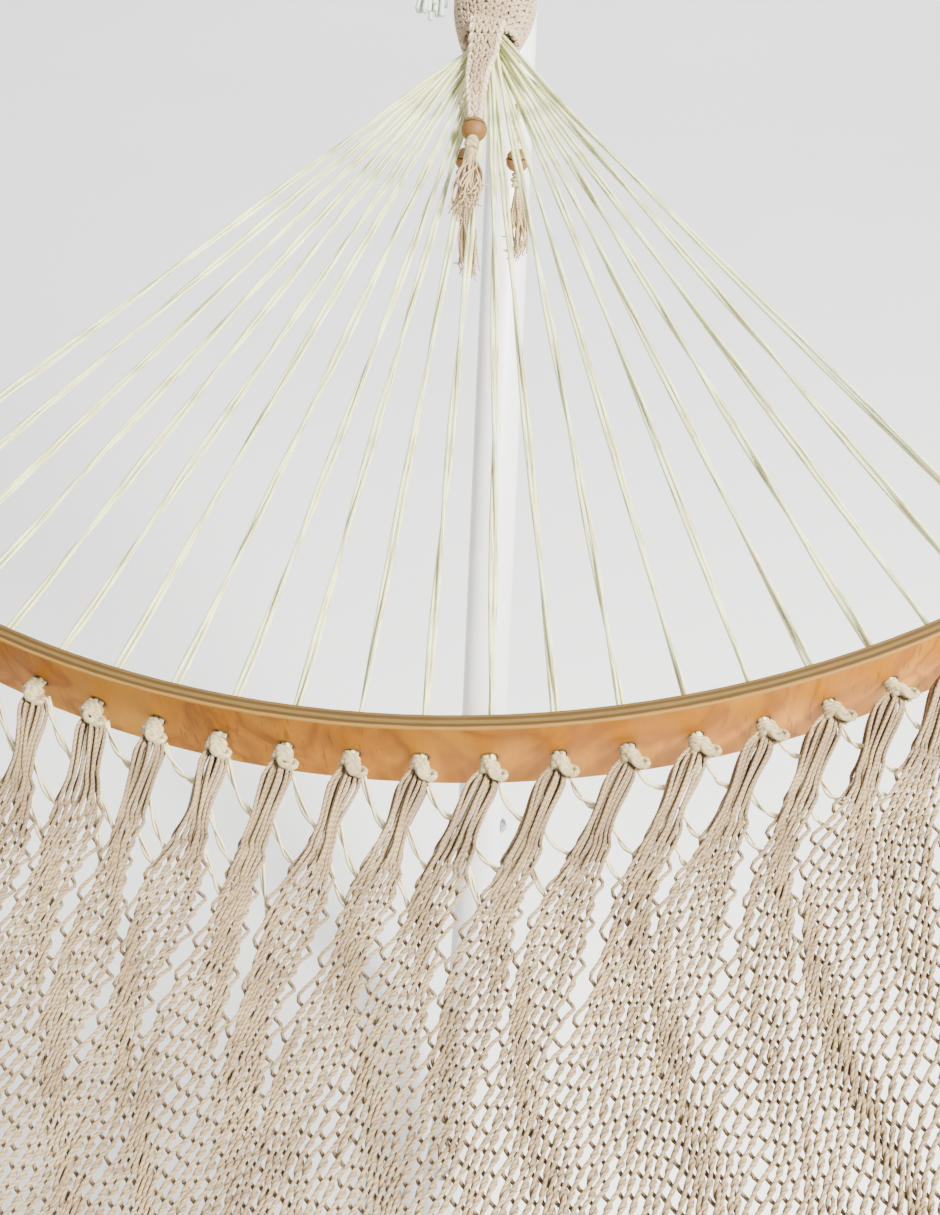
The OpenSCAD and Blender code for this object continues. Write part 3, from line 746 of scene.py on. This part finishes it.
def bead(end, which):
    """A turned bead with a hole and a groove above its middle. The top one tips a little to the vertical."""
    centre, _ = pendant_frame(end, which)
    steep = TILT + BEAD_TIP if which == "top" else math.pi / 2
    axis = turned(end, np.array([0.0, math.cos(steep), math.sin(steep)]))
    angles = np.linspace(-BEAD_ROUND, BEAD_ROUND, 91)
    outline = np.stack([BEAD_R * np.cos(angles), BEAD_R * np.sin(angles)], -1)
    groove = np.exp(-((outline[:, 1] - GROOVE_UP) / GROOVE_WIDTH) ** 2)
    outline[:, 0] -= GROOVE_DEPTH * groove
    sunk = BEAD_R * BEAD_SINK
    closed = [(BEAD_HOLE_R, -sunk)] + [tuple(p) for p in outline] + [(BEAD_HOLE_R, sunk)]
    shape = Shape()
    # The groove's profile also marks where the painted shade goes.
    shape.turned_solid(closed, centre, axis, steps=48, mark=np.concatenate([[0.0], groove, [0.0]]))
    return shape.build(f"wood_bead_{which}_{end}", f"pendant_{which}_{end}", BEAD_WOOD, "bead_wood",
                       [f"bead_{which}_{end}"])


# Shortest and longest strand of each tassel, and how far its strands spread.
STRAND_LENGTHS = {"top": (0.052, 0.082), "left": (0.076, 0.106), "right": (0.058, 0.084)}
STRAND_REACH = {"top": 0.015, "left": 0.011, "right": 0.011}
TASSEL_STRANDS = 46
STRAND_STEPS = 22
TASSEL_TOP = 0.026
TASSEL_NECK = 0.0022
TASSEL_YARN = 0.00095
TIE_YARN = 0.0025
BEAD_CORD = 0.0017
CURL_SIZE = 0.0035


def tassel(end, which):
    """The cord through the bead, its knot, and loose strands with curled ends."""
    centre, down = pendant_frame(end, which)
    across = np.array([1.0, 0.0, 0.0])
    other = np.cross(down, across)
    shape = Shape()

    def put(a, b, along):
        a, b, along = np.broadcast_arrays(a, b, along)
        return centre + a[..., None] * across + b[..., None] * other + along[..., None] * down

    def line(a, b, along, radius, sides):
        shape.tubes(put(a, b, along), radius, sides, up=across * 0.9 + other * 0.43)

    t = np.linspace(0, 1, 12)
    line(0.0006 * np.sin(9 * t), 0 * t, -TIP_GAP + 0.033 * t, BEAD_CORD, sides=8)
    knot = Shape()
    turns = np.linspace(0, 1, 80)
    swell = 0.0026 + 0.0022 * np.sin(math.pi * turns)
    winding = put(swell * np.cos(TAU * 3 * turns), swell * np.sin(TAU * 3 * turns), 0.0125 + 0.0155 * turns)
    knot.tubes(winding, TIE_YARN, sides=8, up=across * 0.9 + other * 0.43)
    over_tie = put(0.002 - 0.006 * t, 0.0045 * np.sin(2 * t), 0.013 + 0.013 * t)
    knot.tubes(over_tie, TIE_YARN, sides=8, up=other)
    knot.build(f"tassel_knot_{which}_{end}", f"pendant_{which}_{end}", KNOT_COTTON, "tassel_cotton")
    t = np.linspace(0, 1, STRAND_STEPS)
    for _ in range(TASSEL_STRANDS):
        spoke = rng.uniform(0, TAU)
        reach = STRAND_REACH[which] * math.sqrt(rng.uniform(0.02, 1))
        length = rng.uniform(*STRAND_LENGTHS[which])
        wobble = rng.uniform(0.0006, 0.0020)
        phase, rate = rng.uniform(0, TAU, 2), rng.uniform(1.0, 2.4)
        drift = spoke + rng.normal(0, 0.9) * t
        open_out = TASSEL_NECK + (reach - TASSEL_NECK) * smooth(t * 1.35)
        a = open_out * np.cos(drift) + wobble * t * np.sin(TAU * rate * t + phase[0])
        b = open_out * np.sin(drift) + wobble * t * np.sin(TAU * rate * t + phase[1])
        hook = np.clip(t - 0.86, 0, 1) / 0.14
        curl = rng.normal(0, CURL_SIZE)
        along = TASSEL_TOP + length * t - 0.6 * abs(curl) * hook ** 2
        line(a + curl * hook ** 2, b + 0.5 * curl * hook, along, TASSEL_YARN * (1 - 0.2 * t), sides=5)
    return shape.build(f"cotton_tassel_{which}_{end}", f"pendant_{which}_{end}", TASSEL_COTTON,
                       "tassel_cotton", [f"tassel_{which}_{end}"])


# ---------- the crown's loop, whipping and frayed tail ----------

LOOP_R = 0.020
LOOP_S = SLEEVE_TOP + 0.022
LOOP_STRANDS = 6
LOOP_LAY = 0.0036
LOOP_YARN = 0.0021
WRAPS = 7
WRAP_R = 0.0092
WRAP_UNEVEN = 0.0006
WRAP_LOW = SLEEVE_TOP - 0.006
WRAP_LENGTH = 0.020
WRAP_YARN = 0.0017


def rope_loop(end):
    """The gathered cord's loop round the ring, six strands laid round a seventh, with its whipping."""
    shape = Shape()
    square = turned(end, fan_point(0, 0, 1) - fan_point(0, 0, 0))
    up_slope = turned(end, fan_point(0, 1, 0) - fan_point(0, 0, 0))
    t = np.linspace(0, TAU, 120)
    for strand in range(LOOP_STRANDS + 1):
        turn = TAU * strand / LOOP_STRANDS + 3 * t
        off = 0.0 if strand == LOOP_STRANDS else LOOP_LAY
        radius = LOOP_R + off * np.cos(turn)
        path = fan_point(radius * np.cos(t), LOOP_S + radius * np.sin(t), off * np.sin(turn))
        shape.tubes(turned(end, path), LOOP_YARN, up=square)
    t = np.linspace(0, 1, 220)
    angle = TAU * WRAPS * t
    radius = WRAP_R + WRAP_UNEVEN * np.sin(angle * 0.31)
    path = fan_point(radius * np.cos(angle), WRAP_LOW + WRAP_LENGTH * t, radius * np.sin(angle))
    shape.tubes(turned(end, path), WRAP_YARN, up=up_slope)
    return shape.build(f"rope_loop_{end}", "hammock", FAN_CORD, "fan_cord", [f"rope_eye_{end}"])


TAIL_HALF_WIDTH = 0.016
TAIL_YARN = 0.0019


def frayed_tail(end):
    """The cut ends of the fan cords, one for each pair, left hanging beside the sleeve."""
    shape, t = Shape(), np.linspace(0, 1, 18)
    for _ in range(PAIRS):
        wide, deep = rng.uniform(-TAIL_HALF_WIDTH, TAIL_HALF_WIDTH), rng.normal(0, 0.004)
        drop = rng.uniform(0.098, 0.120)
        x = -0.008 - 0.052 * smooth(t * 1.2) + wide * t
        s = SLEEVE_TOP + 0.004 + 0.014 * np.sin(math.pi * t * 0.8) - drop * t ** 1.5
        n = 0.006 + 0.010 * np.sin(math.pi * t) + deep * t
        shape.tubes(turned(end, fan_point(x, s, n)), TAIL_YARN * (1 + 0.45 * t), up=SLANT)
    return shape.build(f"frayed_tail_{end}", "hammock", TAIL_CORD, "fan_cord")


# ---------- knots behind the bar ----------

def on_knot(end, k, out, across, lift):
    """Points at pair k: out from the crown point, across the pair's line, and lift square to the fan."""
    angle = float(pair_angle(k))
    x = out * math.sin(angle) + across * math.cos(angle)
    s = -out * math.cos(angle) + across * math.sin(angle)
    return turned(end, fan_point(x, s, lift))


def knot_wraps(end, k, size, lean):
    """Path of the cord wound round the start of bundle k."""
    turns, inner, swell, waver = 4.2, 0.0056, 0.0028, 0.0004
    start, length = 0.0038, 0.0125
    t = np.linspace(0, 1, 110)
    turn = TAU * turns * t + rng.uniform(0, TAU)
    radius = (inner + swell * t + waver * np.sin(3 * turn)) * size
    out = BAR_OUT + start + length * t + lean * np.cos(turn)
    return on_knot(end, k, out, radius * np.cos(turn), radius * np.sin(turn))


def knot_bridge(end, k, size):
    """Path of the cord that crosses over the windings."""
    start, reach, height = 0.004, 0.017, 0.0088
    t = np.linspace(0, 1, 30)
    out = BAR_OUT + start + reach * np.sin(math.pi * t * 0.72)
    return on_knot(end, k, out, (-0.0052 + 0.0135 * t) * size, height * np.sin(math.pi * (0.1 + 0.8 * t)))


def knot_loop(end, k, size):
    """Path of the small loop at the knot's side."""
    aside, half_width, half_length, height = 0.0092, 0.0034, 0.0046, 0.0030
    t = np.linspace(0, TAU * 0.96, 24)
    out = BAR_OUT + 0.0165 + half_length * np.sin(t)
    return on_knot(end, k, out, aside * size + half_width * np.cos(t), 0.002 + height * np.sin(t))


def knots(end):
    """A wrapped knot of pale cord at each hole, round the start of one bundle of the net."""
    shape = Shape()
    neck = np.linspace(0, 1, 6)
    for k in range(PAIRS):
        angle = float(pair_angle(k))
        outwards = turned(end, fan_point(math.sin(angle), -math.cos(angle), 0) - fan_point(0, 0, 0))
        size, lean = rng.uniform(0.84, 1.00), rng.uniform(0.0008, 0.0034)
        shape.tubes(knot_wraps(end, k, size, lean), 0.0021, sides=8, up=outwards)
        shape.tubes(knot_bridge(end, k, size), 0.0023, sides=8)
        shape.tubes(knot_loop(end, k, size), 0.0022, sides=8)
        for side in (-1, 1):
            through = on_knot(end, k, BAR_R - 0.006 + 0.022 * neck, side * 0.0021, 0.0 * neck)
            shape.tubes(through, 0.0024, sides=7)
    return shape.build(f"knots_{end}", "hammock", KNOT_COTTON, "fan_cord", [f"bundle_knots_{end}"])


# For each kind of link: how far past its knots it starts and stops, its cord's radius and its sag.
LINK_KINDS = (
    (0.012, 0.048, 0.0014, 0.005),
    (0.054, 0.096, 0.0012, 0.004),
    (0.080, 0.124, 0.0012, 0.002),
)
AT_KNOT = 0.02
KNOT_SIDE = 0.0085


def links(end):
    """Loops of cord from each knot, and from each bundle's edge, to the next bundle."""
    shape, t = Shape(), np.linspace(0, 1, 22)
    for k in range(PAIRS - 1):
        last, first = k * STRANDS + STRANDS - 1, (k + 1) * STRANDS
        for start, stop, radius, sag in LINK_KINDS:
            start, stop = start + rng.normal(0, 0.003), stop + rng.normal(0, 0.006)
            d_a, d_b = float(knot_d(k)) + start, float(knot_d(k + 1)) + stop
            x_a = float(centre_x(last, d_a) + packed_x(last, max(start, 0.0))) - 0.003
            x_b = float(centre_x(first, d_b) + packed_x(first, stop)) + 0.004
            if start < AT_KNOT:
                x_a = float(centre_x(last, d_a)) + KNOT_SIDE
            wave, turn = rng.uniform(0, TAU), rng.uniform(4, 7)
            for side in (-1, 1):
                x = x_a + (x_b - x_a) * t ** 1.12 + side * 0.0013 * np.cos(turn * t + wave)
                d = d_a + (d_b - d_a) * t + sag * np.sin(math.pi * t)
                d = d + side * 0.0010 * np.sin(turn * t + wave)
                h = -0.001 - 0.004 * np.sin(math.pi * t) + side * 0.0011 * np.sin(turn * t)
                shape.tubes(turned(end, bed_point(x, d, h)), radius)
    return shape.build(f"links_{end}", "hammock", LINK_CORD, "fan_cord")


# ---------- net ----------

# Strands in a bundle and in the net, a strand's radius, the length of one coil and the points along it.
STRANDS = 16
COLUMNS = PAIRS * STRANDS
STRAND_R = 0.0015
PERIOD = 0.029
RINGS_PER_PERIOD = 8

# How far the net leans sideways, how wide its loops open, how uneven its coils are, how fast bundles open.
LEAN = 0.052
LOOP_REACH = 0.0062
FRONT_SHARE = 0.60
OPEN_EXPONENT = 1.25

# Distances from the knots: strands loose, start and length of the weave's onset, bundle gone, full wander.
LOOSE_BY = 0.02
WOVEN_FROM = 0.045
WOVEN_OVER = 0.085
BUNDLE_LENGTH = 0.14
CALM_LENGTH = 0.15

# Strand places across the open net, how each bundle opens, the denser bands and each strand's own wander.
column_x = (np.arange(COLUMNS) - (COLUMNS - 1) / 2) / ((COLUMNS - 1) / 2) * (NET_HALF_W - 0.004)
bundle_near = rng.uniform(0.105, 0.150, PAIRS)
bundle_far = rng.uniform(0.66, 0.88, PAIRS)
bands = [(TAU / rng.uniform(0.045, 0.12), TAU / rng.uniform(0.6, 1.5) * rng.choice((-1, 1)),
          rng.uniform(0, TAU), rng.uniform(0.0010, 0.0022)) for _ in range(7)]
STRAY_SIZE = 0.0008
STRAY_LENGTHS = [0.11 + 0.07 * i for i in range(3)]
stray = rng.normal(0, 1, (COLUMNS, len(STRAY_LENGTHS)))
stray_phase = rng.uniform(0, TAU, (COLUMNS, len(STRAY_LENGTHS)))


def knot_d(k):
    """How far down the fan the net's edge lies at bundle k."""
    return (KNOT_R - 0.002) * np.cos(pair_angle(k))


def spread_out(k, past):
    """How far a bundle has opened, from 0 at its knot to 1 in the open net."""
    near, far = bundle_near[k], bundle_far[k]
    opening = 1 - (1 - np.clip(past / near, 0, 1)) ** OPEN_EXPONENT
    return far * opening + (1 - far) * smooth((past - 0.6 * near) / 0.30)


def packed_x(j, past):
    """How far strand j lies to the side of its bundle's middle because the strands are thick."""
    share = (np.asarray(j) % STRANDS) / (STRANDS - 1) - 0.5
    return share * (0.005 + 0.012 * smooth(past / 0.022)) * (1 - smooth((past - 0.012) / 0.05))


def centre_x(j, d):
    """Where strand j runs across the bed at distance d."""
    j = np.clip(j, 0, COLUMNS - 1)
    k = j // STRANDS
    head, foot = d - knot_d(k), D_TOTAL - d - knot_d(k)
    knot_x = KNOT_R * np.sin(pair_angle(k))
    whole = column_x[j]
    share = head / (D_TOTAL - 2 * knot_d(k))
    open_net = spread_out(k, head) * spread_out(PAIRS - 1 - k, foot)
    lean = -LEAN * np.sin(TAU * share) * (1 - (whole / NET_HALF_W) ** 2)
    wander = sum(size * np.sin(a * (whole - 0.35 * d) + b * d + c) for a, b, c, size in bands)
    wander += STRAY_SIZE * sum(stray[j, i] * np.sin(TAU * d / length + stray_phase[j, i])
                               for i, length in enumerate(STRAY_LENGTHS))
    calm = smooth(np.minimum(head, foot) / CALM_LENGTH) * (1 - (whole / NET_HALF_W) ** 6)
    return knot_x + (whole - knot_x) * open_net + lean + wander * calm


def net_panel(number, first, last):
    """The strands of a few bundles: flattened coils, each winding with its neighbours."""
    shape, lengths = Shape(), []
    for j in range(first * STRANDS, last * STRANDS):
        k = j // STRANDS
        start, stop = float(knot_d(k)), D_TOTAL - float(knot_d(k))
        steps = int((stop - start) / PERIOD * RINGS_PER_PERIOD)
        lengths.append(stop - start)
        d = np.linspace(start, stop, steps)
        x = centre_x(j, d)
        left = np.clip(x - centre_x(j - 1, d), 0.001, LOOP_REACH) / 2 + STRAND_R
        right = np.clip(centre_x(j + 1, d) - x, 0.001, LOOP_REACH) / 2 + STRAND_R
        from_knot = np.minimum(d - start, stop - d)
        woven = smooth((from_knot - WOVEN_FROM) / WOVEN_OVER)
        phase = TAU * (d / PERIOD) + math.pi * (j % 2) + 1.2 * np.sin(d * 9.0 + j * 0.16)
        phase = phase + 0.8 * np.sin(d * 23.0 - j * 0.29 + 1.0) + 0.35 * np.sin(d * 41.0 + j * 0.71)
        phase = phase + FRONT_SHARE * np.cos(phase)
        swing = np.cos(phase)
        x = x + woven * np.where(swing > 0, right, left) * swing + packed_x(j, from_knot)
        level = j * 7 % STRANDS / (STRANDS - 1)
        bundle = 1 - smooth(from_knot / BUNDLE_LENGTH)
        loose = bundle * smooth(from_knot / LOOSE_BY)
        x = x + 0.0011 * loose * np.sin(d * rng.uniform(30, 70) + rng.uniform(0, TAU))
        stack = (level - 0.5) * (0.006 + 0.006 * smooth(from_knot / LOOSE_BY))
        h = 0.0025 * woven * np.sin(phase) + stack * bundle + rng.normal(0, 0.0004) * np.sin(40 * d)
        # Painted shade: the backs of the coils and the lower strands of each bundle get a lower shade value,
        # so they are painted darker.
        tone_and_painted_shade = 0.68 + 0.32 * woven * np.sin(phase) + 0.32 * (1 - woven) * (2 * level - 1)
        shape.tubes(bed_point(x, d, h), STRAND_R, sides=5, tone_and_painted_shade=tone_and_painted_shade)
    piece = shape.build(f"net_panel_{number}", "hammock", NET_COTTON, "net_cotton", ["net"])
    return piece


def net():
    """The whole net, a panel for every two bundles."""
    for i in range(PAIRS // 2):
        net_panel(i + 1, 2 * i, 2 * i + 2)


ROPE_STRANDS = 3
ROPE_YARN = 0.0021
ROPE_LAY = 0.026
ROPE_PAST_NET = 0.003
ROPE_INWARD = 0.012


def edge_cord(side):
    """The laid rope along one side of the net, its strands turning round each other."""
    shape, name = Shape(), "left" if side < 0 else "right"
    start = float(knot_d(0)) + 0.004
    d = np.linspace(start, D_TOTAL - start, 620)
    inward = ROPE_INWARD * (1 - smooth(np.minimum(d - start, D_TOTAL - start - d) / 0.10))
    for strand in range(ROPE_STRANDS):
        turn = TAU * (d / ROPE_LAY + strand / ROPE_STRANDS)
        x = side * (NET_HALF_W + ROPE_PAST_NET - inward) + ROPE_YARN * np.cos(turn)
        shape.tubes(bed_point(x, d, ROPE_YARN * np.sin(turn)), ROPE_YARN)
    return shape.build(f"edge_rope_{name}", "hammock", NET_COTTON, "net_cotton", [f"edge_cord_{name}"])


# ---------- carried-over CAD nodes ----------

def dress(node, material):
    """Gives a CAD node its procedural material."""
    piece = NODES[node]
    for slot in piece.material_slots:
        slot.material = material
    if not piece.material_slots:
        piece.data.materials.append(material)


FINISHES = {
    "base_tube": PAINT, "arm_knee": PAINT, "arm_post": PAINT, "cross_foot": PAINT,
    "base_coupler": ZINC, "arm_spigots": ZINC, "eye_bolt": ZINC, "eye_nuts": ZINC,
    "carabiner": ZINC, "gate": ZINC, "ring": ZINC,
    "gate_pins": BOLT_STEEL, "frame_bolts": BOLT_STEEL, "frame_nuts": BOLT_STEEL,
    "saddle_bolts": BOLT_STEEL, "saddle_nuts": BOLT_STEEL,
    "foot_caps": RUBBER, "saddles": RUBBER, "arm_caps": CAP_PLASTIC,
}


def dress_frame():
    """Gives every carried-over node its finish."""
    for name in NODES:
        stem = name.removesuffix("_head").removesuffix("_foot")
        if stem in FINISHES:
            dress(name, FINISHES[stem])
    for end in ENDS:
        dress(f"spreader_bar_{end}", plywood_material(f"plywood_{end}", end))


# ---------- camera, lights, floor ----------

LENS = 56.3
SENSOR = 36.0
EYE = (0.2054, -0.3339, 1.6289)
YAW = math.radians(-7.2)
PITCH = math.radians(-31.81)
ROLL = math.radians(-0.96)


def camera():
    """Above the bed, looking along it and down at the head bar."""
    data = bpy.data.cameras.new("camera")
    data.lens = LENS
    data.sensor_width = SENSOR
    eye = bpy.data.objects.new("camera", data)
    bpy.context.scene.collection.objects.link(eye)
    eye.rotation_mode = "QUATERNION"
    look = Matrix.Rotation(-YAW, 4, "Z") @ Matrix.Rotation(math.pi / 2 + PITCH, 4, "X")
    look = look @ Matrix.Rotation(ROLL, 4, "Z")
    eye.rotation_quaternion = look.to_quaternion()
    eye.location = EYE
    bpy.context.scene.camera = eye


def area_light(name, place, aim, size, power, colour):
    """A square soft light at a place, turned towards another."""
    data = bpy.data.lights.new(name, "AREA")
    data.size = size
    data.energy = power
    data.color = colour
    lamp = bpy.data.objects.new(name, data)
    bpy.context.scene.collection.objects.link(lamp)
    lamp.location = place
    lamp.rotation_mode = "QUATERNION"
    lamp.rotation_quaternion = (Vector(aim) - Vector(place)).to_track_quat("-Z", "Y")


FLOOR_HALF = 40.0


def studio():
    """Three soft lights, a white world and a plain pale floor."""
    area_light("key", place=(2.6, -0.9, 3.4), aim=(0, 0.7, 0.8), size=1.3, power=900,
               colour=(1.0, 0.98, 0.95))
    area_light("fill", place=(-3.0, -1.5, 2.4), aim=(0, 0.4, 0.8), size=2.5, power=50,
               colour=(0.95, 0.97, 1.0))
    area_light("backdrop", place=(0, 7.5, 4.2), aim=(0, 7.0, 0), size=6.0, power=420,
               colour=(1.0, 1.0, 1.0))
    world = bpy.data.worlds.new("studio")
    bpy.context.scene.world = world
    world.use_nodes = True
    world.node_tree.nodes["Background"].inputs["Color"].default_value = (1, 1, 1, 1)
    world.node_tree.nodes["Background"].inputs["Strength"].default_value = 0.8
    floor_mesh = bpy.data.meshes.new("floor")
    corners = [(x * FLOOR_HALF, y * FLOOR_HALF, 0) for x, y in ((-1, -1), (1, -1), (1, 1), (-1, 1))]
    floor_mesh.from_pydata(corners, [], [(0, 1, 2, 3)])
    floor = bpy.data.objects.new("floor", floor_mesh)
    bpy.context.scene.collection.objects.link(floor)
    matt = Nodes("floor_matt", roughness=0.9)
    cloud = matt.noise(1.4, detail=2.0)
    matt.colour(matt.ramp(cloud, [(0.3, (0.90, 0.90, 0.895)), (0.7, (0.93, 0.93, 0.925))]))
    floor_mesh.materials.append(matt.material)


camera()
studio()
dress_frame()
for end in ENDS:
    fan_cords(end)
    sleeve(end)
    rope_loop(end)
    frayed_tail(end)
    knots(end)
    links(end)
    for which in ("top", "left", "right"):
        flap(end, which)
        bead(end, which)
        tassel(end, which)
net()
for side in (-1, 1):
    edge_cord(side)
